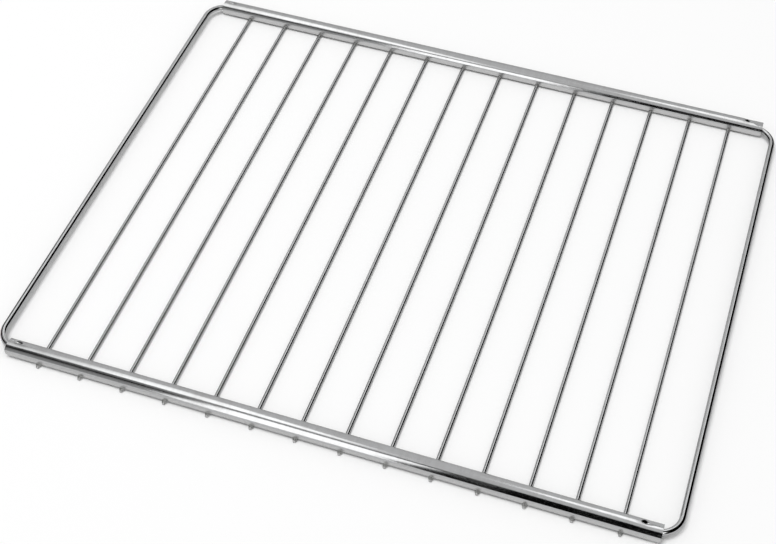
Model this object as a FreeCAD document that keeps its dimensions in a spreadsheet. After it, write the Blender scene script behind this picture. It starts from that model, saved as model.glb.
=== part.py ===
import FreeCAD, Part
import math
import os

import Sketcher

# Extending oven shelf: a welded grid of two folded sheet rails and straight wires,
# with a bent wire arm at each side whose legs slide in the rails to set the width.
# Frame: +X along the rails, +Y from the front rail to the rear rail, +Z up.
# The origin is on the surface that the wires rest on, at the middle of the grid.

SIZES = {
    # Grid wires, which run from front to back
    "wire_count": 14,
    "wire_diameter": 2.1,
    "wire_pitch": 23.4,
    "wire_overhang": 2.0,
    # Rails, folded from sheet as channels that are open below
    "rail_spacing": 289.0,
    "rail_end_length": 18.9,
    "sheet_thickness": 0.6,
    "shoulder_radius": 2.1,
    "crown_radius": 7.0,
    "flange_corner_radius": 2.0,
    # Saddles in the rails' lower edges, where the wires are welded
    "saddle_depth": 0.73,
    "saddle_clearance": 0.05,
    # Arms, bent from thicker wire
    "arm_diameter": 3.3,
    "arm_bend_radius": 12.2,
    "arm_tip_gap": 12.4,
    "arm_shift": 0.8,
    "arm_side_room": 4.2,
    "slide_clearance": 0.15,
    # Dents beside the arms' legs, pressed into the rails' tops near their ends
    "dent_length": 6.6,
    "dent_width": 3.0,
    "dent_depth": 1.15,
    "dent_setoff": 1.05,
    "left_dent_distance": 4.9,
    "right_dent_distance": 7.6,
}

doc = FreeCAD.newDocument("oven_shelf")

sheet = doc.addObject("Spreadsheet::Sheet", "sizes")
for row, (alias, number) in enumerate(SIZES.items(), start=1):
    sheet.set(f"A{row}", alias)
    sheet.set(f"B{row}", str(number))
    sheet.setAlias(f"B{row}", alias)
doc.recompute()


def cell(name):
    """Return the expression that reads one size from the sheet."""
    return f"<<sizes>>.{name}"


def size(name):
    """Return one size from the sheet as a number."""
    return float(sheet.get(name))


# Heights and widths that follow from the sizes, as expressions

WIRE_AXIS = f"{cell('wire_diameter')} / 2"
ARM_AXIS = f"({cell('wire_diameter')} + {cell('slide_clearance')} + {cell('arm_diameter')} / 2)"

# The arched top falls away to its sides, so it is higher in the middle by what the arm needs there.
CROWN_RUN = (f"({cell('crown_radius')} - {cell('sheet_thickness')}"
             f" - {cell('arm_diameter')} / 2 - {cell('slide_clearance')})")
SIDE_RUN = f"({cell('arm_side_room')} / 2 - {cell('slide_clearance')})"
CROWN_FALL = f"({CROWN_RUN} - sqrt({CROWN_RUN} ^ 2 - {SIDE_RUN} ^ 2))"
HOLLOW_TOP = (f"({cell('wire_diameter')} + {cell('arm_diameter')}"
              f" + 2 * {cell('slide_clearance')} + {CROWN_FALL})")
RAIL_TOP = f"({HOLLOW_TOP} + {cell('sheet_thickness')})"
RAIL_FOOT = f"({cell('wire_diameter')} - {cell('saddle_depth')})"
HOLLOW_WIDTH = f"({cell('arm_diameter')} + {cell('arm_side_room')})"
RAIL_WIDTH = f"({HOLLOW_WIDTH} + 2 * {cell('sheet_thickness')})"
WIRE_LENGTH = f"({cell('rail_spacing')} + {RAIL_WIDTH} + 2 * {cell('wire_overhang')})"
SADDLE_RADIUS = f"({cell('wire_diameter')} / 2 + {cell('saddle_clearance')})"
GRID_HALF = f"({cell('wire_pitch')} * ({cell('wire_count')} - 1) / 2)"
RAIL_HALF = f"({GRID_HALF} + {cell('rail_end_length')})"

# A pushed-in arm stops where the inside of its bend comes up to the flange at the rail's mouth.
MOUTH_ROOM = f"({SIDE_RUN} - {cell('arm_shift')})"
BEND_INSIDE = f"({cell('arm_bend_radius')} - {cell('arm_diameter')} / 2)"
MOUTH_DEPTH = f"sqrt({MOUTH_ROOM} * (2 * {BEND_INSIDE} - {MOUTH_ROOM}))"
BEND_START = f"({RAIL_HALF} - {MOUTH_DEPTH})"
ARM_REACH = f"({BEND_START} + {cell('arm_bend_radius')})"
ARM_TIP = f"({cell('arm_tip_gap')} / 2)"

# The dents lie beside the arms' legs, clear of them. The punch that pressed them is round both ways:
# its arcs across and along the rail have the dent's depth and width or length.
DENT_MIDDLE = f"({cell('arm_diameter')} / 2 - {cell('arm_shift')} + {cell('dent_setoff')})"
PUNCH_ACROSS = f"({cell('dent_width')} ^ 2 / 8 / {cell('dent_depth')} + {cell('dent_depth')} / 2)"
PUNCH_ALONG = f"({cell('dent_length')} ^ 2 / 8 / {cell('dent_depth')} + {cell('dent_depth')} / 2)"


def value(expression):
    """Return what an expression of sizes comes to, as a number."""
    return float(sheet.evalExpression(expression))


def origin_plane(body, role):
    """Return one of a body's own origin planes."""
    return next(plane for plane in body.Origin.OriginFeatures if plane.Role == role)


def origin_axis(body, role):
    """Return one of a body's own origin axes."""
    return next(axis for axis in body.Origin.OriginFeatures if axis.Role == role)


def new_body(name):
    """Start a body whose label names its file."""
    body = doc.addObject("PartDesign::Body", name)
    body.Label = name
    return body


def new_sketch(body, name, role):
    """Start a sketch on one of the body's origin planes."""
    sketch = body.newObject("Sketcher::SketchObject", name)
    sketch.AttachmentSupport = [(origin_plane(body, role), "")]
    sketch.MapMode = "FlatFace"
    return sketch


def constrain(sketch, kind, *references, name=None, expression=None):
    """Add a constraint, and tie it to the sheet where it holds a size."""
    index = sketch.addConstraint(Sketcher.Constraint(kind, *references))
    if name is not None:
        sketch.renameConstraint(index, name)
        sketch.setExpression(f"Constraints.{name}", expression)
    return index


# A curve's points as a sketch counts them, its own axes, which it counts downwards, and its origin
START, END, CENTRE = range(1, 4)
LEVEL_AXIS, UPRIGHT_AXIS = range(-1, -3, -1)
ORIGIN = (LEVEL_AXIS, START)

# Lengths that differ by less than this, in millimetres, count as equal.
CLOSE = 1e-4


def section_sketch(body, name, width, foot, top, shoulder, crown):
    """Draw a section of the rail: upright flanges, round shoulders and an arched top."""
    sketch = new_sketch(body, name, "YZ_Plane")
    half, low, high = value(width) / 2, value(foot), value(top)
    shoulder_size, crown_size = value(shoulder), value(crown)
    crown_centre = FreeCAD.Vector(0, high - crown_size)
    lean = math.asin((half - shoulder_size) / (crown_size - shoulder_size))
    shoulder_height = crown_centre.y + (crown_size - shoulder_size) * math.cos(lean)
    quarter = math.pi / 2

    def arc(middle, radius, first, last):
        circle = Part.Circle(middle, FreeCAD.Vector(0, 0, 1), radius)
        return Part.ArcOfCircle(circle, first, last)

    right_centre = FreeCAD.Vector(half - shoulder_size, shoulder_height)
    left_centre = FreeCAD.Vector(shoulder_size - half, shoulder_height)
    bottom, right, right_shoulder, upper, left_shoulder, left = (
        sketch.addGeometry(curve) for curve in (
            Part.LineSegment(FreeCAD.Vector(-half, low), FreeCAD.Vector(half, low)),
            Part.LineSegment(FreeCAD.Vector(half, low), FreeCAD.Vector(half, shoulder_height)),
            arc(right_centre, shoulder_size, 0, quarter - lean),
            arc(crown_centre, crown_size, quarter - lean, quarter + lean),
            arc(left_centre, shoulder_size, quarter + lean, 2 * quarter),
            Part.LineSegment(FreeCAD.Vector(-half, shoulder_height), FreeCAD.Vector(-half, low)),
        ))
    constrain(sketch, "Coincident", bottom, END, right, START)
    constrain(sketch, "Coincident", left, END, bottom, START)
    for curve, following in (
            (right, right_shoulder), (right_shoulder, upper), (upper, left_shoulder), (left_shoulder, left)):
        constrain(sketch, "Tangent", curve, END, following, START)
    constrain(sketch, "Horizontal", bottom)
    constrain(sketch, "Vertical", right)
    constrain(sketch, "Vertical", left)
    constrain(sketch, "PointOnObject", upper, CENTRE, UPRIGHT_AXIS)
    constrain(sketch, "Equal", right_shoulder, left_shoulder)
    constrain(sketch, "Radius", right_shoulder, shoulder_size, name="shoulder", expression=shoulder)
    constrain(sketch, "Radius", upper, crown_size, name="crown", expression=crown)
    constrain(sketch, "DistanceX", bottom, START, bottom, END, 2 * half, name="width", expression=width)
    constrain(sketch, "DistanceY", upper, CENTRE, *ORIGIN, crown_size - high, name="top",
              expression=f"{crown} - {top}")
    constrain(sketch, "DistanceY", upper, CENTRE, bottom, START, low - high + crown_size, name="foot",
              expression=f"{foot} - {top} + {crown}")
    return sketch


def outline_sketch(body, name, corners):
    """Draw a closed outline in the XZ plane through its corners.

    A corner is two expressions: how far it lies left of the middle, and how high above the floor.
    """
    sketch = new_sketch(body, name, "XZ_Plane")
    points = [FreeCAD.Vector(-value(left), value(high)) for left, high in corners]
    for index, point in enumerate(points):
        sketch.addGeometry(Part.LineSegment(points[index - 1], point))
    for index, (left, high) in enumerate(corners):
        following = (index + 1) % len(corners)
        constrain(sketch, "Coincident", index, END, following, START)
        constrain(sketch, "DistanceX", index, END, *ORIGIN, value(left), name=f"left_{index}", expression=left)
        constrain(sketch, "DistanceY", *ORIGIN, index, END, value(high), name=f"high_{index}", expression=high)
    return sketch


def seat_sketch(body):
    """Draw the seat of the first wire: five sides of an octagon round the wire, open below."""
    flat = f"({SADDLE_RADIUS} * (sqrt(2) - 1))"
    upper = f"{WIRE_AXIS} + {SADDLE_RADIUS}"
    side = f"{WIRE_AXIS} + {flat}"
    below_foot = f"{RAIL_FOOT} / 2"
    return outline_sketch(body, "seat_outline", [
        (f"{GRID_HALF} + {SADDLE_RADIUS}", below_foot),
        (f"{GRID_HALF} + {SADDLE_RADIUS}", side),
        (f"{GRID_HALF} + {flat}", upper),
        (f"{GRID_HALF} - {flat}", upper),
        (f"{GRID_HALF} - {SADDLE_RADIUS}", side),
        (f"{GRID_HALF} - {SADDLE_RADIUS}", below_foot),
    ])


def pad_both_ways(body, name, sketch, length):
    """Pad a sketch by the same amount to both sides of its plane."""
    pad = body.newObject("PartDesign::Pad", name)
    pad.Profile = sketch
    pad.SideType = "Symmetric"
    pad.setExpression("Length", length)
    doc.recompute()
    return pad


def round_edges(body, name, feature, test, radius):
    """Fillet those edges of the body's last feature whose middle point passes a test."""
    chosen = []
    for index, edge in enumerate(feature.Shape.Edges, start=1):
        middle = edge.valueAt((edge.FirstParameter + edge.LastParameter) / 2)
        if test(edge, middle):
            chosen.append(f"Edge{index}")
    fillet = body.newObject("PartDesign::Fillet", name)
    fillet.Base = (feature, chosen)
    fillet.setExpression("Radius", radius)
    doc.recompute()
    return fillet


def along_wires(body, name, feature):
    """Repeat a feature at every wire, from the first one at the left end of the grid."""
    pattern = body.newObject("PartDesign::LinearPattern", name)
    pattern.Originals = [feature]
    pattern.Direction = (origin_axis(body, "X_Axis"), [""])
    pattern.setExpression("Length", f"2 * {GRID_HALF}")
    pattern.setExpression("Occurrences", cell("wire_count"))
    body.Tip = pattern
    doc.recompute()
    return pattern


def runs_along(edge, axis):
    """Say whether an edge is straight along X, Y or Z."""
    ends = [vertex.Point for vertex in edge.Vertexes]
    if len(ends) != 2:
        return False
    run = ends[1].sub(ends[0])
    return abs(abs(getattr(run, axis)) - run.Length) < CLOSE and abs(edge.Length - run.Length) < CLOSE


def rail_block():
    """Make the rail's outer form, with round lower corners at its ends."""
    body = new_body("rail_block")
    section = section_sketch(body, "block_section", RAIL_WIDTH, RAIL_FOOT, RAIL_TOP,
                             cell("shoulder_radius"), cell("crown_radius"))
    block = pad_both_ways(body, "block_pad", section, f"2 * {RAIL_HALF}")
    foot = value(RAIL_FOOT)
    round_edges(
        body, "block_corners", block,
        lambda edge, middle: runs_along(edge, "y") and abs(middle.z - foot) < CLOSE,
        cell("flange_corner_radius"))
    return body


def rail_hollow():
    """Make the space inside the channel, with the seat of each wire across it."""
    body = new_body("rail_hollow")
    section = section_sketch(body, "hollow_section", HOLLOW_WIDTH, f"-{cell('wire_diameter')}", HOLLOW_TOP,
                             f"({cell('shoulder_radius')} - {cell('sheet_thickness')})",
                             f"({cell('crown_radius')} - {cell('sheet_thickness')})")
    pad_both_ways(body, "hollow_pad", section, f"4 * {RAIL_HALF}")
    seat = pad_both_ways(body, "seat_pad", seat_sketch(body), f"2 * {RAIL_WIDTH}")
    along_wires(body, "seats", seat)
    return body


def dent_pair(name, growth):
    """Make the rounded punch forms of the dents at both ends, grown by the sheet for the inner face."""
    pair = []
    for side, end in ((-1, "left"), (1, "right")):
        punch = doc.addObject("Part::Torus", f"{name}_{end}")
        punch.setExpression("Radius1", f"{PUNCH_ALONG} - {PUNCH_ACROSS}")
        punch.setExpression("Radius2", f"{PUNCH_ACROSS} + {growth}")
        punch.Placement.Rotation = FreeCAD.Rotation(FreeCAD.Vector(1, 0, 0), 90)
        distance = cell(f"{end}_dent_distance")
        punch.setExpression("Placement.Base.x", f"{side} * ({RAIL_HALF} - {distance})")
        punch.setExpression("Placement.Base.y", DENT_MIDDLE)
        punch.setExpression("Placement.Base.z", f"{RAIL_TOP} - {cell('dent_depth')} + {PUNCH_ALONG}")
        pair.append(punch)
    group = doc.addObject("Part::MultiFuse", name)
    group.Shapes = pair
    return group


def cut(name, base, tool):
    """Cut one form out of another."""
    result = doc.addObject("Part::Cut", name)
    result.Label = name
    result.Base = base
    result.Tool = tool
    return result


def rails():
    """Make both rails, which are the same folded piece with its dents towards the rear."""
    open_space = cut("rail_space", rail_hollow(), dent_pair("dent_backs", cell("sheet_thickness")))
    channel = cut("rail_channel", rail_block(), open_space)
    dents = dent_pair("dents", "0")
    pieces = []
    for name, side in (("front_rail", -1), ("rear_rail", 1)):
        rail = cut(name, channel, dents)
        rail.setExpression("Placement.Base.y", f"{side} * {cell('rail_spacing')} / 2")
        pieces.append(rail)
    return pieces


def grid_wire(number):
    """Make one straight wire of the grid, counted from the left."""
    body = new_body(f"cross_wire_{number:02d}")
    sketch = new_sketch(body, f"wire_circle_{number:02d}", "XZ_Plane")
    centre = FreeCAD.Vector(0, value(WIRE_AXIS))
    sketch.addGeometry(Part.Circle(centre, FreeCAD.Vector(0, 0, 1), size("wire_diameter") / 2))
    constrain(sketch, "Diameter", 0, size("wire_diameter"), name="section", expression=cell("wire_diameter"))
    constrain(sketch, "DistanceY", *ORIGIN, 0, CENTRE, value(WIRE_AXIS), name="height", expression=WIRE_AXIS)
    constrain(sketch, "PointOnObject", 0, CENTRE, UPRIGHT_AXIS)
    pad_both_ways(body, f"wire_pad_{number:02d}", sketch, WIRE_LENGTH)
    body.setExpression(
        "Placement.Base.x", f"{cell('wire_pitch')} * ({number - 1} - ({cell('wire_count')} - 1) / 2)")
    return body


def arm_path(body, name, side):
    """Draw the axis of an arm: a leg in each rail, a bend at each corner and the straight side."""
    sketch = new_sketch(body, name, "XY_Plane")
    sketch.setExpression("AttachmentOffset.Base.z", ARM_AXIS)
    radius = size("arm_bend_radius")
    reach, bend = value(ARM_REACH), value(BEND_START)
    tip = value(ARM_TIP)
    front = -size("rail_spacing") / 2 - size("arm_shift")
    rear = size("rail_spacing") / 2 - size("arm_shift")

    def point(x, y):
        return FreeCAD.Vector(side * x, y)

    diagonal = radius * math.sqrt(0.5)
    front_middle = point(bend + diagonal, front + radius - diagonal)
    rear_middle = point(bend + diagonal, rear - radius + diagonal)
    front_bend = Part.Arc(point(bend, front), front_middle, point(reach, front + radius))
    rear_bend = Part.Arc(point(reach, rear - radius), rear_middle, point(bend, rear))
    front_leg, front_arc, straight, rear_arc, rear_leg = (
        sketch.addGeometry(curve) for curve in (
            Part.LineSegment(point(tip, front), point(bend, front)),
            front_bend,
            Part.LineSegment(point(reach, front + radius), point(reach, rear - radius)),
            rear_bend,
            Part.LineSegment(point(bend, rear), point(tip, rear)),
        ))

    # A sketch's arcs run anticlockwise, so at the left side each arc's ends change places.
    near, far = (START, END) if side > 0 else (END, START)
    constrain(sketch, "Tangent", front_leg, END, front_arc, near)
    constrain(sketch, "Tangent", front_arc, far, straight, START)
    constrain(sketch, "Tangent", straight, END, rear_arc, near)
    constrain(sketch, "Tangent", rear_arc, far, rear_leg, START)
    constrain(sketch, "Horizontal", front_leg)
    constrain(sketch, "Vertical", straight)
    constrain(sketch, "Horizontal", rear_leg)
    constrain(sketch, "Equal", front_arc, rear_arc)
    constrain(sketch, "Equal", front_leg, rear_leg)
    constrain(sketch, "Radius", front_arc, radius, name="bend", expression=cell("arm_bend_radius"))
    constrain(sketch, "Distance", front_leg, START, front_leg, END, bend - tip, name="leg",
              expression=f"{BEND_START} - {ARM_TIP}")
    constrain(sketch, "DistanceX", *ORIGIN, straight, START, side * reach, name="reach",
              expression=f"{side} * {ARM_REACH}")
    constrain(sketch, "DistanceY", front_leg, START, *ORIGIN, -front, name="front",
              expression=f"{cell('rail_spacing')} / 2 + {cell('arm_shift')}")
    constrain(sketch, "DistanceY", *ORIGIN, rear_leg, END, rear, name="rear",
              expression=f"{cell('rail_spacing')} / 2 - {cell('arm_shift')}")
    return sketch


def arm_section(body, name, side):
    """Draw the arm's round section at the tip of its front leg."""
    sketch = new_sketch(body, name, "YZ_Plane")
    front = -size("rail_spacing") / 2 - size("arm_shift")
    sketch.setExpression("AttachmentOffset.Base.z", f"{side} * {ARM_TIP}")
    centre = FreeCAD.Vector(front, value(ARM_AXIS))
    sketch.addGeometry(Part.Circle(centre, FreeCAD.Vector(0, 0, 1), size("arm_diameter") / 2))
    constrain(sketch, "Diameter", 0, size("arm_diameter"), name="section", expression=cell("arm_diameter"))
    constrain(sketch, "DistanceX", 0, CENTRE, *ORIGIN, -front, name="front",
              expression=f"{cell('rail_spacing')} / 2 + {cell('arm_shift')}")
    constrain(sketch, "DistanceY", *ORIGIN, 0, CENTRE, value(ARM_AXIS), name="height", expression=ARM_AXIS)
    return sketch


def arm(name, side):
    """Make one arm: a thicker wire bent to a wide U, whose legs slide in the rails."""
    body = new_body(name)
    path = arm_path(body, f"{name}_path", side)
    section = arm_section(body, f"{name}_section", side)
    doc.recompute()
    bar = body.newObject("PartDesign::AdditivePipe", f"{name}_bar")
    bar.Profile = section
    bar.Spine = path
    doc.recompute()
    return body


def wrong_objects():
    """Return the names of the objects that failed to compute."""
    return [item.Name for item in doc.Objects if {"Invalid", "Error"} & set(item.State)]


pieces = rails()
pieces += [arm("left_arm", -1), arm("right_arm", 1)]
pieces += [grid_wire(number) for number in range(1, int(size("wire_count")) + 1)]
doc.recompute()

failed = wrong_objects()
if failed:
    raise RuntimeError(f"objects that failed: {failed}")
for piece in pieces:
    if piece.Shape.isNull() or not piece.Shape.isValid() or len(piece.Shape.Solids) != 1:
        raise RuntimeError(f"{piece.Label} is not one valid solid")

os.makedirs("parts", exist_ok=True)
for piece in pieces:
    piece.Shape.exportStep(f"parts/{piece.Label}.step")
    print(piece.Label, round(piece.Shape.Volume, 1))
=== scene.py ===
import math

import bmesh
import bpy
from bpy.props import FloatProperty, FloatVectorProperty, IntProperty, PointerProperty
from mathutils import Matrix, Vector, noise


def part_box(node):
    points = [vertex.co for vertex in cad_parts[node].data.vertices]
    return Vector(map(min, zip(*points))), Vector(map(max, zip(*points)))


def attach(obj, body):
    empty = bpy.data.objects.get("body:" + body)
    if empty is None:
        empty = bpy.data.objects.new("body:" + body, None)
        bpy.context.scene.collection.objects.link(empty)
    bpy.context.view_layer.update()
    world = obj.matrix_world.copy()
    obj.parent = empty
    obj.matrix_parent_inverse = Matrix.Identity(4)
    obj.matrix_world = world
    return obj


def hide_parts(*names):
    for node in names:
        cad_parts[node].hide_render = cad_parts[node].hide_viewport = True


bl_info = {
    "name": "Extending Oven Shelf",
    "version": (1, 0, 0),
    "blender": (4, 5, 0),
    "location": "View3D > Sidebar > Shelf",
    "description": "Builds the plated rails, wires and arms of an extending oven shelf in a plain studio",
    "category": "Object",
}

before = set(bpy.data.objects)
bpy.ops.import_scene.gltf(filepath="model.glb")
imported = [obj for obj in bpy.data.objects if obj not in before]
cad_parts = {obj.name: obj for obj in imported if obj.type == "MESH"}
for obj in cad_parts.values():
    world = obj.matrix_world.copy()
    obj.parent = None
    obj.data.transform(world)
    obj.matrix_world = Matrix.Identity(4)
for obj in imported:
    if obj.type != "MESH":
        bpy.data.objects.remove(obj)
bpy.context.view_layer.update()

MM = 0.001

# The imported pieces, and the places that their boxes give
RAILS = ("front_rail", "rear_rail")
ARM_SIDES = {"left_arm": -1, "right_arm": 1}
WIRES = sorted(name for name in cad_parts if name.startswith("cross_wire"))


def middle_of(node):
    """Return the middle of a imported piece's box."""
    low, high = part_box(node)
    return (low + high) / 2


def span_of(node):
    """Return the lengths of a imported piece's box."""
    low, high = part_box(node)
    return high - low


WIRE_PLACES = [middle_of(name).x for name in WIRES]
WIRE_PITCH = WIRE_PLACES[1] - WIRE_PLACES[0]
WIRE_RADIUS = span_of(WIRES[0]).z / 2
WIRE_HEIGHT = middle_of(WIRES[0]).z
RAIL_PLACES = [middle_of(name).y for name in RAILS]
RAIL_HALF_LENGTH = span_of(RAILS[0]).x / 2
RAIL_HALF_WIDTH = span_of(RAILS[0]).y / 2
RAIL_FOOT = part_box(RAILS[0])[0].z
RAIL_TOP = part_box(RAILS[0])[1].z
ARM_RADIUS = span_of("left_arm").z / 2
ARM_HEIGHT = middle_of("left_arm").z


class RailSizes(bpy.types.PropertyGroup):
    """Sizes of the folded rails that their boxes don't give."""

    sheet: FloatProperty(
        name="Sheet", description="Thickness of the folded sheet", default=0.6 * MM, unit="LENGTH")
    shoulder: FloatProperty(
        name="Shoulder", description="Outer radius of the fold", default=2.1 * MM, unit="LENGTH")
    crown: FloatProperty(
        name="Crown", description="Radius of the arched top", default=7.0 * MM, unit="LENGTH")
    corner: FloatProperty(
        name="Corner", description="Radius of the flanges' lower corners", default=2.0 * MM, unit="LENGTH")
    dent_length: FloatProperty(
        name="Dent length", description="Length of a pressed dent", default=6.6 * MM, unit="LENGTH")
    dent_width: FloatProperty(
        name="Dent width", description="Width of a pressed dent", default=3.0 * MM, unit="LENGTH")
    dent_depth: FloatProperty(
        name="Dent depth", description="Depth of a pressed dent", default=1.15 * MM, unit="LENGTH")
    left_dent: FloatProperty(
        name="Left dent", description="From a left dent's middle to the rail's end", default=4.9 * MM,
        unit="LENGTH")
    right_dent: FloatProperty(
        name="Right dent", description="From a right dent's middle to the rail's end", default=7.6 * MM,
        unit="LENGTH")
    front_aside: FloatProperty(
        name="Front aside", description="From the front rail's middle to its dents'", default=1.9 * MM,
        unit="LENGTH")
    rear_aside: FloatProperty(
        name="Rear aside", description="From the rear rail's middle to its dents'", default=1.5 * MM,
        unit="LENGTH")
    dent_lip: FloatProperty(
        name="Dent lip", description="Softness of a dent's edge", default=0.3 * MM, unit="LENGTH")
    left_sag: FloatProperty(
        name="Left sag", description="How far the sheet sinks round a left dent", default=0.08 * MM,
        unit="LENGTH")
    right_sag: FloatProperty(
        name="Right sag", description="How far the sheet sinks round a right dent", default=0.12 * MM,
        unit="LENGTH")
    front_press: FloatProperty(
        name="Front press", description="How far the front rail's right end is pressed flat",
        default=0.5 * MM, unit="LENGTH")
    rear_press: FloatProperty(
        name="Rear press", description="How far the rear rail's right end is pressed flat",
        default=0.45 * MM, unit="LENGTH")
    front_flat: FloatProperty(
        name="Front flat", description="From the front rail's middle to its flat", default=1.35 * MM,
        unit="LENGTH")
    rear_flat: FloatProperty(
        name="Rear flat", description="From the rear rail's middle to its flat", default=-1.0 * MM,
        unit="LENGTH")
    press_length: FloatProperty(
        name="Press length", description="Length of the flat at a right end", default=7.0 * MM,
        unit="LENGTH")
    ripple: FloatProperty(
        name="Ripple", description="Unevenness of the folded sheet", default=0.02 * MM, unit="LENGTH")
    flash_width: FloatProperty(
        name="Flash width", description="Reach of the weld metal beside a wire", default=2.1 * MM,
        unit="LENGTH")
    flash_drop: FloatProperty(
        name="Flash drop", description="Hang of the weld metal beside a wire", default=0.6 * MM,
        unit="LENGTH")


class WireSizes(bpy.types.PropertyGroup):
    """Sizes of the grid wires' ends and welds."""

    sides: IntProperty(name="Sides", description="Sides of a wire's section", default=28, min=8)
    tip_share: FloatProperty(
        name="Tip share", description="Tip's width as a share of the wire's", default=0.62, subtype="FACTOR")
    tip_height: FloatProperty(
        name="Tip height", description="Tip's height as a share of the wire's", default=0.76,
        subtype="FACTOR")
    weld_swell: FloatProperty(
        name="Weld swell", description="Share by which a weld widens the wire", default=0.5, subtype="FACTOR")
    weld_reach: FloatProperty(
        name="Weld reach", description="Length of a weld's swell along the wire", default=1.6 * MM,
        unit="LENGTH")
    bow: FloatProperty(
        name="Bow", description="Largest sideways bow of a wire", default=0.55 * MM, unit="LENGTH")
    bow_wire: FloatProperty(
        name="Bowed wire", description="Number of the wire with the largest bow", default=9.6)
    bow_spread: FloatProperty(
        name="Bow spread", description="Number of wires over which the bow dies away", default=1.5)


class ArmSizes(bpy.types.PropertyGroup):
    """Sizes of the bent arms that their boxes don't give."""

    sides: IntProperty(name="Sides", description="Sides of an arm's section", default=40, min=8)
    bend: FloatProperty(
        name="Bend", description="Radius of the bends at the arm's axis", default=12.2 * MM, unit="LENGTH")
    bend_steps: IntProperty(name="Bend steps", description="Steps in each bend", default=28, min=4)
    tip_chamfer: FloatProperty(
        name="Tip chamfer", description="Chamfer of the legs' tips", default=0.4 * MM, unit="LENGTH")


class PlatingLook(bpy.types.PropertyGroup):
    """Finish of the bright plating."""

    colour: FloatVectorProperty(
        name="Colour", description="Colour of the clean plating", subtype="COLOR",
        default=(0.47, 0.475, 0.48))
    haze: FloatVectorProperty(
        name="Haze", description="Colour where the plating is hazy", subtype="COLOR",
        default=(0.40, 0.40, 0.40))
    scorch: FloatVectorProperty(
        name="Scorch", description="Colour beside the welds", subtype="COLOR",
        default=(0.50, 0.50, 0.49))
    # Lighter than the clean plating: a painted sheen that brightens the rails' low flanges, which also have a
    # duller finish.
    satin_and_sheen: FloatVectorProperty(
        name="Satin", description="Colour of the duller flanges", subtype="COLOR",
        default=(0.55, 0.55, 0.55))
    edge: FloatProperty(
        name="Edge", description="Share of the light that the plating keeps at a grazing angle", default=0.5,
        subtype="FACTOR")
    gloss: FloatProperty(
        name="Gloss", description="Roughness of the clean plating", default=0.1, subtype="FACTOR")


class StudioLook(bpy.types.PropertyGroup):
    """Light of the studio and colour of its floor."""

    floor: FloatVectorProperty(
        name="Floor", description="Colour of the floor and backdrop", subtype="COLOR",
        default=(0.93, 0.93, 0.93))
    dome: FloatProperty(
        name="Dome", description="Brightness of the even light from all round", default=0.59)
    lamp_power: FloatProperty(
        name="Lamp power", description="Power of the wide soft lamp at the left", default=69.5, unit="POWER")
    wall_level: FloatProperty(
        name="Wall level", description="Brightness of the far wall and the ceiling", default=0.84)
    white_level: FloatProperty(
        name="White level", description="Brightness of the white cards and softboxes", default=2.3)
    dim_level: FloatProperty(
        name="Dim level", description="Brightness of the unlit wall at the left", default=0.56)


# Meshes


def new_ring(bm, sides, radius, turn):
    """Make a ring of edges round the origin, turned to face along the piece."""
    made = bmesh.ops.create_circle(bm, segments=sides, radius=radius, matrix=turn)
    verts = set(made["verts"])
    return [edge for edge in bm.edges if edge.verts[0] in verts and edge.verts[1] in verts]


def ring_verts(ring):
    """Return the corners of a ring of edges."""
    return list({vert for edge in ring for vert in edge.verts})


def push_ring(bm, ring, change):
    """Extrude a ring, move the new ring by a matrix and return it."""
    grown = bmesh.ops.extrude_edge_only(bm, edges=ring)["geom"]
    verts = {item for item in grown if isinstance(item, bmesh.types.BMVert)}
    bmesh.ops.transform(bm, matrix=change, verts=list(verts))
    return [item for item in grown if isinstance(item, bmesh.types.BMEdge)
            and item.verts[0] in verts and item.verts[1] in verts]


def spin_ring(bm, ring, centre, angle, steps):
    """Spin a ring about an upright axis and return the last ring."""
    spun = bmesh.ops.spin(
        bm, geom=ring_verts(ring) + ring, cent=centre, axis=(0, 0, 1), dvec=(0, 0, 0),
        angle=angle, steps=steps, use_merge=False, use_duplicate=False)["geom_last"]
    return [item for item in spun if isinstance(item, bmesh.types.BMEdge)]


def scaled_about(centre, move, across, upright):
    """Return the matrix that scales in X and Z about a place and then moves."""
    scale = Matrix.Diagonal((across, 1, upright, 1))
    return Matrix.Translation(centre + move) @ scale @ Matrix.Translation(-centre)


def make_piece(bm, name, body, material, nodes):
    """Turn a closed mesh into a smooth-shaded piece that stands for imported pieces."""
    sharp = math.radians(38)
    bmesh.ops.recalc_face_normals(bm, faces=bm.faces)
    for face in bm.faces:
        face.smooth = True
    for edge in bm.edges:
        edge.smooth = edge.calc_face_angle(0) < sharp
    mesh = bpy.data.meshes.new(name)
    bm.to_mesh(mesh)
    bm.free()
    mesh.materials.append(material)
    piece = bpy.data.objects.new(name, mesh)
    bpy.context.scene.collection.objects.link(piece)
    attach(piece, body)
    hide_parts(*nodes)
    return piece


# Rails

FLANGE_ROWS = 8
SHOULDER_ROWS = 18
CROWN_ROWS = 30
COLUMN_STEP = 3.0 * MM

# Distances in mm from a wire's middle, a dent's middle and the rail's end at which the sheet has columns
WIRE_COLUMNS = [0.0, 0.4, 0.75, 0.98, 1.05, 1.09, 1.3, 1.6, 1.9, 2.2, 2.8]
DENT_COLUMNS = [0.3 * step for step in range(26)]
END_COLUMNS = [0.0, 0.04, 0.12, 0.25, 0.45, 0.7, 1.0, 1.4, 2.0]


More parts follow.
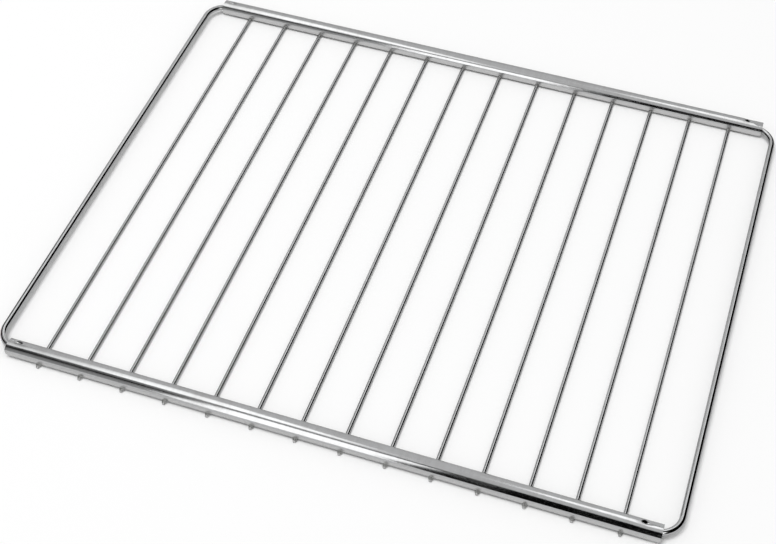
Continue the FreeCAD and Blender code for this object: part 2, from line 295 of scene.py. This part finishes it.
def rail_rows(sizes):
    """Return the rail's section from the front foot to the rear one, as across, height and flange share.

    The flange share is 1 at the foot and 0 from the shoulder up.
    """
    side = RAIL_HALF_WIDTH - sizes.shoulder
    lean = math.asin(side / (sizes.crown - sizes.shoulder))
    crown_centre = RAIL_TOP - sizes.crown
    shoulder_centre = crown_centre + (sizes.crown - sizes.shoulder) * math.cos(lean)
    half = []
    for row in range(FLANGE_ROWS):
        share = 1 - row / FLANGE_ROWS
        half.append((RAIL_HALF_WIDTH, shoulder_centre, share))
    for row in range(SHOULDER_ROWS):
        angle = (math.pi / 2 - lean) * row / SHOULDER_ROWS
        half.append((side + sizes.shoulder * math.cos(angle),
                     shoulder_centre + sizes.shoulder * math.sin(angle), 0.0))
    for row in range(CROWN_ROWS // 2 + 1):
        angle = lean * (1 - row / (CROWN_ROWS // 2))
        half.append((sizes.crown * math.sin(angle), crown_centre + sizes.crown * math.cos(angle), 0.0))
    front = [(-across, height, share) for across, height, share in half]
    rear = list(reversed(half[:-1]))
    return front + rear


def rail_columns(sizes):
    """Return the places along the rail where the sheet has columns."""
    places = set()
    for wire in WIRE_PLACES:
        for distance in WIRE_COLUMNS:
            places.update((wire - distance * MM, wire + distance * MM))
    for side, dent in ((-1, sizes.left_dent), (1, sizes.right_dent)):
        for distance in DENT_COLUMNS:
            for way in (-1, 1):
                places.add(side * (RAIL_HALF_LENGTH - dent) + way * distance * MM)
        for distance in END_COLUMNS:
            places.add(side * (RAIL_HALF_LENGTH - distance * MM))
    tight = 0.02 * MM
    ordered = []
    for place in sorted(places):
        if abs(place) <= RAIL_HALF_LENGTH and (not ordered or place - ordered[-1] > tight):
            ordered.append(place)
    columns = [ordered[0]]
    for place in ordered[1:]:
        start = columns[-1]
        parts = max(1, math.ceil((place - start) / COLUMN_STEP))
        columns += [start + (place - start) * part / parts for part in range(1, parts + 1)]
    return columns


def foot_height(along, sizes):
    """Return the height of the flange's lower edge: straight, round at the ends, drawn down to the welds."""
    height = RAIL_FOOT
    aside = min(abs(along - wire) for wire in WIRE_PLACES)
    seat = 1.07 * MM
    if aside < seat:
        height = WIRE_HEIGHT + math.sqrt(max(0.0, WIRE_RADIUS ** 2 - aside ** 2))
    elif aside < sizes.flash_width:
        fade = 1 - (aside - seat) / (sizes.flash_width - seat)
        height -= sizes.flash_drop * fade ** 2
    to_end = RAIL_HALF_LENGTH - abs(along)
    if to_end < sizes.corner:
        inset = sizes.corner - max(to_end, 0.0)
        height = max(height, RAIL_FOOT + sizes.corner - math.sqrt(sizes.corner ** 2 - inset ** 2))
    return height


def soft_lower(first, second, blend):
    """Return the lower of two heights, blended where they are close."""
    near = max(blend - abs(first - second), 0.0) / blend
    return min(first, second) - near ** 2 * blend / 4


def smooth_step(start, end, place):
    """Return 0 before the start, 1 after the end and a smooth rise between."""
    part = max(0.0, min(1.0, (place - start) / (end - start)))
    return part * part * (3 - 2 * part)


def pressed_height(along, across, height, aside, press, edge, sizes):
    """Return the height of the rail's top, which is pressed flat behind an edge at its right end."""
    slant = 1.6
    slope_length = 1.6 * MM
    slope_width = 1.0 * MM
    fall = 0.28
    start = RAIL_HALF_LENGTH - sizes.press_length - slant * (across - aside)
    share = smooth_step(start - slope_length / 2, start + slope_length / 2, along)
    share *= smooth_step(edge - slope_width / 2, edge + slope_width / 2, across)
    flat = min(height, RAIL_TOP - press - fall * max(across, 0.0))
    return height + share * (flat - height)


def dented_height(along, across, height, aside, sizes):
    """Return the height of the rail's top where the dents and the sag round them press it down."""
    punch_across = sizes.dent_width ** 2 / 8 / sizes.dent_depth + sizes.dent_depth / 2
    punch_along = sizes.dent_length ** 2 / 8 / sizes.dent_depth + sizes.dent_depth / 2
    to_end = sizes.left_dent if along < 0 else sizes.right_dent
    sag = sizes.left_sag if along < 0 else sizes.right_sag
    off_along = abs(along) - (RAIL_HALF_LENGTH - to_end)
    off_across = across - aside
    sag_length = 4.5 * MM
    sag_width = 3.0 * MM
    spread = (off_along / sag_length) ** 2 + (off_across / sag_width) ** 2
    height -= sag * math.exp(-spread)
    if abs(off_across) >= punch_across:
        return height
    reach = punch_along - punch_across + math.sqrt(punch_across ** 2 - off_across ** 2)
    if abs(off_along) >= reach:
        return height
    punch = RAIL_TOP - sizes.dent_depth + punch_along - math.sqrt(reach ** 2 - off_along ** 2)
    return soft_lower(height, punch, sizes.dent_lip)


def ripple_at(along, row, place, sizes):
    """Return how far the sheet lies under its true form at a place."""
    long_wave = 34.0 * MM
    rows_a_wave = 16.0
    rail_seed = place * 50
    wave = noise.noise(Vector((along / long_wave, row / rows_a_wave, rail_seed)))
    return -sizes.ripple * (0.5 + 0.5 * max(-1.0, min(1.0, wave)))


def build_rail(name, sizes, material):
    """Fold a fine grid of sheet into the rail and give it its thickness."""
    rows = rail_rows(sizes)
    columns = rail_columns(sizes)
    place = middle_of(name).y
    is_front = name == RAILS[0]
    aside = sizes.front_aside if is_front else sizes.rear_aside
    press = sizes.front_press if is_front else sizes.rear_press
    edge = sizes.front_flat if is_front else sizes.rear_flat
    bm = bmesh.new()
    bmesh.ops.create_grid(bm, x_segments=len(columns) - 1, y_segments=len(rows) - 1, size=0.5)
    feet = [foot_height(along, sizes) for along in columns]
    for vert in bm.verts:
        column = round((vert.co.x + 0.5) * (len(columns) - 1))
        row = round((vert.co.y + 0.5) * (len(rows) - 1))
        along = columns[column]
        across, height, share = rows[row]
        if share:
            height += share * (feet[column] - height)
        else:
            height = pressed_height(along, across, height, aside, press, edge, sizes)
            height = dented_height(along, across, height, aside, sizes)
            height += ripple_at(along, row, place, sizes)
        vert.co = (along, place + across, height)
    bmesh.ops.recalc_face_normals(bm, faces=bm.faces)
    top = max(bm.faces, key=lambda face: face.calc_center_median().z)
    if top.normal.z < 0:
        bmesh.ops.reverse_faces(bm, faces=bm.faces)
    bm.normal_update()
    grown = bmesh.ops.extrude_face_region(bm, geom=bm.faces[:], use_keep_orig=True)["geom"]
    for vert in (item for item in grown if isinstance(item, bmesh.types.BMVert)):
        vert.co -= vert.normal * sizes.sheet
    return make_piece(bm, f"plated_{name}", "grid", material, [name])


class SHELF_OT_rails(bpy.types.Operator):
    """Build both folded rails with their dents and weld seats"""

    bl_idname = "shelf.rails"
    bl_label = "Build Rails"

    def execute(self, context):
        material = sheet_plating(context.scene.shelf_plating)
        for name in RAILS:
            build_rail(name, context.scene.shelf_rail, material)
        return {"FINISHED"}


# Wires

# Shares of the way from a tip to the flange, and of a weld's reach with its swell there
TIP_PARTS = (0.0, 0.05, 0.15, 0.35, 0.6, 0.8, 0.97)
WELD_PARTS = ((0.03, 1.0), (0.15, 0.62), (0.35, 0.3), (0.6, 0.12), (1.0, 0.0))


def tip_stations(tip, flange, sizes):
    """Return places from a tip to the flange: squashed and wide at the flange, and narrower at the tip."""
    flare = 1.3
    droop = 0.35
    rounding = 6
    stations = [(flange, 1.0, 1.0)]
    for part in TIP_PARTS:
        across = sizes.tip_share + (1 + sizes.weld_swell - sizes.tip_share) * part ** flare
        upright = sizes.tip_height * (1 - droop * (1 - part) ** rounding)
        stations.append((tip + (flange - tip) * part, across, upright))
    return stations


def weld_stations(flange, way, sizes):
    """Return places that widen a wire where it runs out from a flange over the open grid."""
    stations = [(flange, 1.0, 1.0)]
    for part, swell in WELD_PARTS:
        stations.append((flange + way * part * sizes.weld_reach, 1 + swell * sizes.weld_swell / 2, 1.0))
    return stations


def wire_stations(low, high, sizes):
    """Return places along a wire with the share of its width and height there."""
    front, rear = RAIL_PLACES
    stations = tip_stations(low, front - RAIL_HALF_WIDTH, sizes)
    stations += weld_stations(front + RAIL_HALF_WIDTH, 1, sizes)
    stations += weld_stations(rear - RAIL_HALF_WIDTH, -1, sizes)
    stations += tip_stations(high, rear + RAIL_HALF_WIDTH, sizes)
    run_start = front + RAIL_HALF_WIDTH
    run_end = rear - RAIL_HALF_WIDTH
    pieces = 16
    for part in range(1, pieces):
        stations.append((run_start + (run_end - run_start) * part / pieces, 1.0, 1.0))
    return sorted(stations)


def build_wire(name, sizes, material, bow):
    """Extrude a wire from tip to tip on its level underside, with squashed ends, welds and a slight bow."""
    low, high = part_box(name)
    length = high.y - low.y
    bm = bmesh.new()
    stations = wire_stations(low.y, high.y, sizes)
    first, across, upright = stations[0]
    centre = Vector((middle_of(name).x, first, WIRE_HEIGHT - WIRE_RADIUS * (1 - upright)))
    turn = (Matrix.Translation(centre) @ Matrix.Diagonal((across, 1, upright, 1))
            @ Matrix.Rotation(math.radians(90), 4, "X"))
    ring = new_ring(bm, sizes.sides, WIRE_RADIUS, turn)
    bmesh.ops.edgeloop_fill(bm, edges=ring)
    for place, next_across, next_upright in stations[1:]:
        part = (place - low.y) / length
        aside = middle_of(name).x + bow * 4 * part * (1 - part)
        move = Vector((aside - centre.x, place - centre.y, WIRE_RADIUS * (next_upright - upright)))
        change = scaled_about(centre, move, next_across / across, next_upright / upright)
        ring = push_ring(bm, ring, change)
        centre = centre + move
        across, upright = next_across, next_upright
    bmesh.ops.edgeloop_fill(bm, edges=ring)
    return make_piece(bm, f"plated_{name}", "grid", material, [name])


class SHELF_OT_wires(bpy.types.Operator):
    """Build the straight wires of the grid"""

    bl_idname = "shelf.wires"
    bl_label = "Build Wires"

    def execute(self, context):
        sizes = context.scene.shelf_wire
        material = wire_plating(context.scene.shelf_plating)
        for number, name in enumerate(WIRES, start=1):
            share = math.exp(-((number - sizes.bow_wire) / sizes.bow_spread) ** 2)
            build_wire(name, sizes, material, sizes.bow * share)
        return {"FINISHED"}


# Arms


def build_arm(name, side, sizes, material):
    """Push a round section along the front leg, round the bends and back along the rear leg."""
    low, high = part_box(name)
    tip = side * min(abs(low.x), abs(high.x))
    reach = side * max(abs(low.x), abs(high.x)) - side * ARM_RADIUS
    front = low.y + ARM_RADIUS
    rear = high.y - ARM_RADIUS
    bend = reach - side * sizes.bend
    slim = (ARM_RADIUS - sizes.tip_chamfer) / ARM_RADIUS
    chamfer = Vector((side * sizes.tip_chamfer, 0, 0))
    leg = Vector((bend - tip - side * sizes.tip_chamfer, 0, 0))
    straight = Vector((0, rear - front - 2 * sizes.bend, 0))
    parts = 12
    bm = bmesh.new()
    start = Vector((tip, front, ARM_HEIGHT))
    turn = Matrix.Translation(start) @ Matrix.Rotation(math.radians(90), 4, "Y")
    ring = new_ring(bm, sizes.sides, ARM_RADIUS * slim, turn)
    bmesh.ops.edgeloop_fill(bm, edges=ring)
    widen = Matrix.Diagonal((1, 1 / slim, 1 / slim, 1))
    narrow = Matrix.Diagonal((1, slim, slim, 1))
    ring = push_ring(bm, ring, Matrix.Translation(start + chamfer) @ widen @ Matrix.Translation(-start))
    for part in range(parts):
        ring = push_ring(bm, ring, Matrix.Translation(leg / parts))
    quarter = side * math.pi / 2
    ring = spin_ring(bm, ring, (bend, front + sizes.bend, 0), quarter, sizes.bend_steps)
    for part in range(parts):
        ring = push_ring(bm, ring, Matrix.Translation(straight / parts))
    ring = spin_ring(bm, ring, (bend, rear - sizes.bend, 0), quarter, sizes.bend_steps)
    for part in range(parts):
        ring = push_ring(bm, ring, Matrix.Translation(-leg / parts))
    end = Vector((tip, rear, ARM_HEIGHT)) + chamfer
    ring = push_ring(bm, ring, Matrix.Translation(end - chamfer) @ narrow @ Matrix.Translation(-end))
    bmesh.ops.edgeloop_fill(bm, edges=ring)
    return make_piece(bm, f"plated_{name}", name, material, [name])


class SHELF_OT_arms(bpy.types.Operator):
    """Build the two bent arms that slide in the rails"""

    bl_idname = "shelf.arms"
    bl_label = "Build Arms"

    def execute(self, context):
        material = arm_plating(context.scene.shelf_plating)
        for name, side in ARM_SIDES.items():
            build_arm(name, side, context.scene.shelf_arm, material)
        return {"FINISHED"}


# Materials


class Shade:
    """One socket of a material's nodes, so that shader maths reads as plain expressions."""

    def __init__(self, tree, socket=None):
        self.tree = tree
        self.socket = socket

    def node(self, kind, settings=None, sockets=None, output=0):
        """Add a node, set it up, give its sockets values or links and return one of its outputs."""
        made = self.tree.nodes.new(kind)
        for name, setting in (settings or {}).items():
            if name == "stops":
                self.fill_ramp(made.color_ramp.elements, setting)
            else:
                setattr(made, name, setting)
        for name, given in (sockets or {}).items():
            if isinstance(given, Shade):
                self.tree.links.new(given.socket, made.inputs[name])
            else:
                made.inputs[name].default_value = given
        return Shade(self.tree, made.outputs[output] if made.outputs else None)

    @staticmethod
    def fill_ramp(elements, stops):
        """Set a ramp's two or more stops, each a place and a grey level."""
        while len(elements) < len(stops):
            elements.new(1.0)
        for element, (place, level) in zip(elements, stops):
            element.position = place
            element.color = (level, level, level, 1)

    def maths(self, operation, first, second=0.0):
        return self.node("ShaderNodeMath", {"operation": operation}, {0: first, 1: second})

    def __add__(self, other):
        return self.maths("ADD", self, other)

    def __sub__(self, other):
        return self.maths("SUBTRACT", self, other)

    def __rsub__(self, other):
        return self.maths("SUBTRACT", other, self)

    def __mul__(self, other):
        return self.maths("MULTIPLY", self, other)

    def __abs__(self):
        return self.maths("ABSOLUTE", self)

    __radd__ = __add__
    __rmul__ = __mul__

    def axis(self, index):
        """Return one coordinate of a place."""
        return self.node("ShaderNodeSeparateXYZ", sockets={0: self}, output=index)

    def ramp(self, *stops):
        """Return this value through a grey ramp."""
        return self.node("ShaderNodeValToRGB", {"stops": stops}, {"Fac": self})

    def blend(self, low, high):
        """Return a colour between two colours, by this value."""
        return self.node(
            "ShaderNodeMix", {"data_type": "RGBA"}, {"Factor": self, 6: low, 7: high}, output=2)


def opaque(colour):
    """Return a colour with full alpha."""
    return (*colour, 1.0)


def new_material(name):
    """Start a material with an empty node tree and return it with its first shade."""
    material = bpy.data.materials.new(name)
    material.use_nodes = True
    material.node_tree.nodes.clear()
    return material, Shade(material.node_tree)


def close_material(shade, surface):
    """Link a surface shader to the material's output."""
    shade.node("ShaderNodeOutputMaterial", sockets={"Surface": surface})


def cloud(shade, place, scale, detail=3.0):
    """Return a cloudy pattern of a size given by its scale."""
    return shade.node(
        "ShaderNodeTexNoise", sockets={"Vector": place, "Scale": scale, "Detail": detail})


def stretched(shade, place, scale):
    """Return a place with its axes stretched, for a pattern that follows the drawing marks."""
    return shade.node("ShaderNodeMapping", sockets={"Vector": place, "Scale": scale})


def near_welds(shade, place, reach):
    """Return a mask that is 1 where a wire meets a rail's flange and fades out beyond."""
    along, across, height = (place.axis(index) for index in range(3))
    from_wire = shade.node(
        "ShaderNodeMath", {"operation": "WRAP"},
        {0: along - WIRE_PLACES[0], 1: WIRE_PITCH / 2, 2: -WIRE_PITCH / 2})
    from_flange = abs(abs(abs(across) - RAIL_PLACES[1]) - RAIL_HALF_WIDTH)
    from_axis = height - WIRE_HEIGHT
    offset = shade.node("ShaderNodeCombineXYZ", sockets={0: from_wire, 1: from_flange, 2: from_axis})
    distance = shade.node("ShaderNodeVectorMath", {"operation": "LENGTH"}, {0: offset}, output="Value")
    return (distance * (1 / reach)).ramp((0.35, 1.0), (1.0, 0.0))


# How finely the haze, the pits and the orange peel repeat
HAZE_SCALE = 55.0
PIT_SCALE = 1900.0
PEEL_SCALE = 420.0


def plating(name, look, marks, streak, weld_reach=None, dull_and_sheen_height=None):
    """Make bright plating with haze, drawing marks, pits, rougher patches at the welds and a rougher low part
    whose colour is lightened as painted sheen.
    """
    material, shade = new_material(name)
    place = shade.node("ShaderNodeTexCoord", output="Object")
    haze = cloud(shade, place, HAZE_SCALE, 5.0).ramp((0.42, 0.0), (0.75, 1.0))
    pits = cloud(shade, place, PIT_SCALE, 2.0).ramp((0.66, 0.0), (0.78, 1.0))
    lines = cloud(shade, stretched(shade, place, marks), 1.0, 3.0)
    peel = cloud(shade, place, PEEL_SCALE, 2.0)
    streaks = cloud(shade, stretched(shade, place, streak), 1.0, 4.0).ramp((0.3, 0.0), (0.7, 1.0))
    colour = (haze * 0.5 + streaks * 0.5).blend(opaque(look.colour), opaque(look.haze))
    rough = look.gloss + haze * 0.07 + pits * 0.12 + lines * 0.03
    if weld_reach:
        scorch = near_welds(shade, place, weld_reach)
        colour = (scorch * 0.8).blend(colour, opaque(look.scorch))
        rough = rough + scorch * 0.4
    # Below this height the rails' flanges are rougher, and their colour is lightened as painted sheen that
    # stands in for a brighter reflection.
    if dull_and_sheen_height:
        blend = 0.8 * MM
        dull_and_sheen = ((place.axis(2) - dull_and_sheen_height) * (1 / blend)).ramp((0.0, 1.0), (1.0, 0.0))
        colour = dull_and_sheen.blend(colour, opaque(look.satin_and_sheen))
        rough = rough + dull_and_sheen * 0.15
    relief = lines * 0.5 + peel * 0.6 - pits * 0.5
    normal = shade.node("ShaderNodeBump", sockets={
        "Height": relief, "Strength": 0.35, "Distance": 0.012 * MM})
    surface = shade.node("ShaderNodeBsdfPrincipled", sockets={
        "Base Color": colour, "Roughness": rough, "Metallic": 1.0, "Normal": normal,
        "Specular Tint": opaque((look.edge, look.edge, look.edge))})
    close_material(shade, surface)
    return material


def sheet_plating(look):
    """Make the plating of the rails, whose rolling marks run along them and whose low flanges are rougher and
    lightened with painted sheen.
    """
    return plating("rail_plating", look, marks=(40.0, 1500.0, 1500.0), streak=(520.0, 60.0, 60.0),
                   dull_and_sheen_height=3.6 * MM)


def wire_plating(look):
    """Make the plating of the wires, whose drawing marks run from front to back."""
    return plating("wire_plating", look, marks=(2600.0, 60.0, 2600.0), streak=(90.0, 380.0, 90.0),
                   weld_reach=3.0 * MM)


def arm_plating(look):
    """Make the plating of the arms."""
    return plating("arm_plating", look, marks=(700.0, 700.0, 2200.0), streak=(300.0, 300.0, 90.0))


def plain_paint(name, colour):
    """Make the matt pale paint of the floor and backdrop."""
    material, shade = new_material(name)
    surface = shade.node("ShaderNodeBsdfDiffuse", sockets={"Color": opaque(colour)})
    close_material(shade, surface)
    return material


def glow(name, level, fade=None):
    """Make a lit panel, even or fading to nothing along an axis from one place to another."""
    material, shade = new_material(name)
    colour = opaque((1, 1, 1))
    if fade:
        axis, full, none = fade
        place = shade.node("ShaderNodeTexCoord", output="Object").axis(axis)
        colour = ((place - full) * (1 / (none - full))).ramp((0.0, 1.0), (1.0, 0.0))
    surface = shade.node("ShaderNodeEmission", sockets={"Color": colour, "Strength": level})
    close_material(shade, surface)
    return material


# Stage

FLOOR_RADIUS = 6.0
FLOOR_SIDES = 96
LAMP_PLACE = Vector((-0.7, -0.2, 3.6))
LAMP_SIZE = (1.8, 1.8)

# What stands round the shelf and shows in its plating. The walls and the ceiling are pale and unlit,
# and the room is dark at the right.
WALL_PLACE = 1.65
WALL_LEFT, WALL_RIGHT = -2.3, 0.42
CEILING = 1.87
CEILING_CORNERS = ((-0.42, -0.1), (WALL_RIGHT, -0.1), (WALL_RIGHT, WALL_PLACE), (-1.2, WALL_PLACE))
NEAR_CEILING_CORNERS = ((-1.2, -0.32), (-0.42, -0.32), (-0.42, 0.18), (-1.2, 0.18))
NEAR_CEILING_FADE = (0, -0.42, -1.1)
FAR_CEILING_CORNERS = ((WALL_LEFT, 0.18), (-0.5, 0.18), (-1.2, WALL_PLACE), (WALL_LEFT, WALL_PLACE))

# A softbox lies under the ceiling at the left and fades towards its left end.
# A narrow one leans behind the shelf.
SOFTBOX_HEIGHT = 1.8
SOFTBOX_CORNERS = ((-0.33, 0.18), (-0.33, 0.5), (-0.85, 1.62), (-1.5, 1.62), (-1.5, 0.18))
SOFTBOX_FADE = (0, -0.75, -1.4)
REAR_SOFTBOX_CORNERS = ((-0.04, 1.36, 1.47), (0.21, 1.63, 1.3), (0.21, 0.75, 1.853), (-0.04, 1.05, 1.665))

# A white card stands between the camera and the shelf and leans over it, with a dim wall at its left.
CARD_CORNERS = (
    (-0.218, -0.645, 0.01), (-0.039, -0.645, 0.01), (0.003, -0.184, 0.448), (-0.178, -0.184, 0.448))
CARD_TOP = ((-0.124, -0.284, 1.6), (-0.435, -0.284, 1.6))
DIM_CORNERS = ((-1.6, -1.1, 0.01), (-0.24, -1.1, 0.01), (-0.24, -0.377, 0.869), (-1.6, -0.377, 0.869))
DIM_FADE = (2, 0.05, 1.6)
SIDE_CARD_CORNERS = ((0.22, -0.645, 0.01), (0.45, -0.645, 0.01), (0.45, -0.3, 0.45), (0.22, -0.3, 0.45))

# The photograph's frame and the camera that was fitted to it
IMAGE_WIDTH = 776
FOCAL_PIXELS = 1489.28
SENSOR_WIDTH = 36.0
CAMERA_PLACE = Vector((157.33, -532.22, 611.70)) * MM
CAMERA_AZIMUTH = math.radians(17.7336)
CAMERA_ELEVATION = math.radians(49.253)
CAMERA_ROLL = math.radians(1.0232)


def stage_piece(bm, name, material):
    """Turn a mesh into a piece of the stage."""
    mesh = bpy.data.meshes.new(name)
    bm.to_mesh(mesh)
    bm.free()
    mesh.materials.append(material)
    piece = bpy.data.objects.new(name, mesh)
    bpy.context.scene.collection.objects.link(piece)
    return piece


def build_floor(look):
    """Build the round floor."""
    bm = bmesh.new()
    ring = new_ring(bm, FLOOR_SIDES, FLOOR_RADIUS, Matrix.Identity(4))
    bmesh.ops.edgeloop_fill(bm, edges=ring)
    stage_piece(bm, "floor", plain_paint("pale_paint", look.floor))


def build_card(name, corners, level, fade=None):
    """Build a lit card that shows only where the plating reflects it."""
    bm = bmesh.new()
    bmesh.ops.contextual_create(bm, geom=[bm.verts.new(corner) for corner in corners])
    hide_card(stage_piece(bm, name, glow(f"{name}_glow", level, fade)))


def hide_card(card):
    """Take a card out of the camera's sight and of the light on the floor."""
    card.visible_camera = False
    card.visible_diffuse = False
    card.visible_shadow = False


def build_cards(look):
    """Build the walls, the softboxes and the cards that the plating reflects."""
    wall = [(WALL_LEFT, WALL_PLACE, 0.0), (WALL_RIGHT, WALL_PLACE, 0.0),
            (WALL_RIGHT, WALL_PLACE, CEILING), (WALL_LEFT, WALL_PLACE, CEILING)]
    build_card("far_wall", wall, look.wall_level)
    build_card("ceiling", [(*corner, CEILING) for corner in CEILING_CORNERS], look.wall_level)
    build_card("far_ceiling", [(*corner, CEILING) for corner in FAR_CEILING_CORNERS], look.wall_level)
    near_ceiling = [(*corner, CEILING) for corner in NEAR_CEILING_CORNERS]
    build_card("near_ceiling", near_ceiling, look.dim_level, NEAR_CEILING_FADE)
    softbox = [(*corner, SOFTBOX_HEIGHT) for corner in SOFTBOX_CORNERS]
    build_card("softbox", softbox, look.white_level, SOFTBOX_FADE)
    build_card("rear_softbox", REAR_SOFTBOX_CORNERS, look.white_level)
    build_card("white_card", CARD_CORNERS, look.white_level)
    build_card("card_top", [CARD_CORNERS[3], CARD_CORNERS[2], *CARD_TOP], look.white_level)
    build_card("side_card", SIDE_CARD_CORNERS, look.white_level)
    build_card("dim_wall", DIM_CORNERS, look.dim_level, DIM_FADE)


def hang_lamp(name, place, size, power, target):
    """Hang a rectangular lamp that faces a target."""
    light = bpy.data.lights.new(name, "AREA")
    light.shape = "RECTANGLE"
    light.size, light.size_y = size
    light.energy = power
    lamp = bpy.data.objects.new(name, light)
    lamp.location = place
    lamp.rotation_mode = "QUATERNION"
    lamp.rotation_quaternion = (target - place).to_track_quat("-Z", "Y")
    lamp.visible_glossy = False
    bpy.context.scene.collection.objects.link(lamp)
    return lamp


def build_dome(look):
    """Light the floor evenly from all round, and leave the plating a dark room to reflect."""
    world = bpy.data.worlds.new("dome")
    world.use_nodes = True
    world.node_tree.nodes.clear()
    shade = Shade(world.node_tree)
    light = shade.node("ShaderNodeBackground", sockets={"Color": opaque((1, 1, 1)), "Strength": look.dome})
    shade.node("ShaderNodeOutputWorld", sockets={"Surface": light})
    bpy.context.scene.world = world
    world.cycles_visibility.glossy = False


def build_camera():
    """Set the camera where the photograph was taken from."""
    back = Vector((math.sin(CAMERA_AZIMUTH) * math.cos(CAMERA_ELEVATION),
                   -math.cos(CAMERA_AZIMUTH) * math.cos(CAMERA_ELEVATION),
                   math.sin(CAMERA_ELEVATION)))
    right = (-back).cross(Vector((0, 0, 1))).normalized()
    up = right.cross(-back)
    rolled_right = math.cos(CAMERA_ROLL) * right + math.sin(CAMERA_ROLL) * up
    rolled_up = math.cos(CAMERA_ROLL) * up - math.sin(CAMERA_ROLL) * right
    data = bpy.data.cameras.new("camera")
    data.sensor_width = SENSOR_WIDTH
    data.lens = SENSOR_WIDTH * FOCAL_PIXELS / IMAGE_WIDTH
    data.clip_start = 0.01
    camera = bpy.data.objects.new("camera", data)
    turn = Matrix((rolled_right, rolled_up, back)).transposed().to_4x4()
    camera.matrix_world = Matrix.Translation(CAMERA_PLACE) @ turn
    bpy.context.scene.collection.objects.link(camera)
    bpy.context.scene.camera = camera


class SHELF_OT_studio(bpy.types.Operator):
    """Set up the floor, the cards, the lamp and the camera"""

    bl_idname = "shelf.studio"
    bl_label = "Set Up Studio"

    def execute(self, context):
        look = context.scene.shelf_studio
        context.scene.view_settings.view_transform = "Standard"
        build_floor(look)
        build_cards(look)
        build_dome(look)
        hang_lamp("soft_lamp", LAMP_PLACE, LAMP_SIZE, look.lamp_power, Vector((0, 0, 0)))
        build_camera()
        return {"FINISHED"}


class SHELF_PT_panel(bpy.types.Panel):
    """Lists the shelf's sizes, finishes and build steps"""

    bl_idname = "SHELF_PT_panel"
    bl_label = "Oven Shelf"
    bl_space_type = "VIEW_3D"
    bl_region_type = "UI"
    bl_category = "Shelf"

    def draw(self, context):
        for operator in OPERATORS:
            self.layout.operator(operator.bl_idname)
        for attribute in SETTINGS:
            settings = getattr(context.scene, attribute)
            box = self.layout.box()
            for name in settings.__annotations__:
                box.prop(settings, name)


SETTINGS = {
    "shelf_rail": RailSizes,
    "shelf_wire": WireSizes,
    "shelf_arm": ArmSizes,
    "shelf_plating": PlatingLook,
    "shelf_studio": StudioLook,
}
OPERATORS = (SHELF_OT_rails, SHELF_OT_wires, SHELF_OT_arms, SHELF_OT_studio)


def register():
    """Register the settings, the operators and the panel."""
    for attribute, group in SETTINGS.items():
        bpy.utils.register_class(group)
        setattr(bpy.types.Scene, attribute, PointerProperty(type=group))
    for operator in OPERATORS:
        bpy.utils.register_class(operator)
    bpy.utils.register_class(SHELF_PT_panel)


def unregister():
    """Take the panel, the operators and the settings away again."""
    bpy.utils.unregister_class(SHELF_PT_panel)
    for operator in reversed(OPERATORS):
        bpy.utils.unregister_class(operator)
    for attribute, group in reversed(SETTINGS.items()):
        delattr(bpy.types.Scene, attribute)
        bpy.utils.unregister_class(group)


def main():
    """Build the shelf and its studio."""
    register()
    bpy.ops.shelf.rails()
    bpy.ops.shelf.wires()
    bpy.ops.shelf.arms()
    bpy.ops.shelf.studio()


if __name__ == "__main__":
    main()
